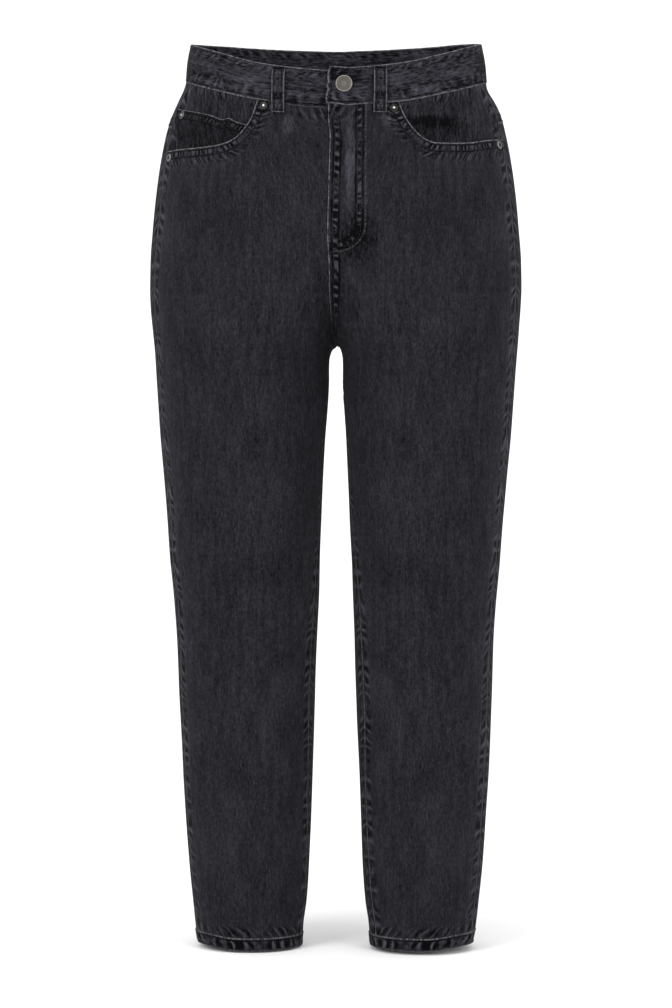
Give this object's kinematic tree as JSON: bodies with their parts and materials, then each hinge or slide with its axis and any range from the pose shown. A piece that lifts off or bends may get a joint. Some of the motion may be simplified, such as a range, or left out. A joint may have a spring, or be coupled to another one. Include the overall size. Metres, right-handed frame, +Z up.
{
  "type": "mom jeans",
  "caption": "High-waisted tapered denim jeans, filled out and hollow, with buttoned waistband, fly, scooped front pockets, back yoke and patch pockets.",
  "frame": {"origin": "middle of the waist opening, at half height of the waistband at the sides, where the wearer's waist holds the jeans", "axes": "+Z up along the legs, +Y towards the wearer's back, +X towards the wearer's left"},
  "size_m": [0.3881, 0.2359, 0.9545],
  "materials": {
    "denim": "washed black cotton twill, matt",
    "metal": "warm grey antiqued metal, satin"
  },
  "bodies": {
    "root": {"back_left": "denim", "back_pocket_left": "denim", "back_pocket_right": "denim", "back_right": "denim", "belt_loop_back_left": "denim", "belt_loop_back_middle": "denim", "belt_loop_back_right": "denim", "belt_loop_front_left": "denim", "belt_loop_front_right": "denim", "coin_pocket": "denim", "fly_shield": "denim", "front_left": "denim", "front_right": "denim", "pocket_facing_left": "denim", "pocket_facing_right": "denim", "waistband": "denim", "yoke_left": "denim", "yoke_right": "denim", "button": "metal", "rivet_coin": "metal", "rivet_side_left": "metal", "rivet_side_right": "metal", "rivet_top_left": "metal", "rivet_top_right": "metal"}
  },
  "joints": []
}
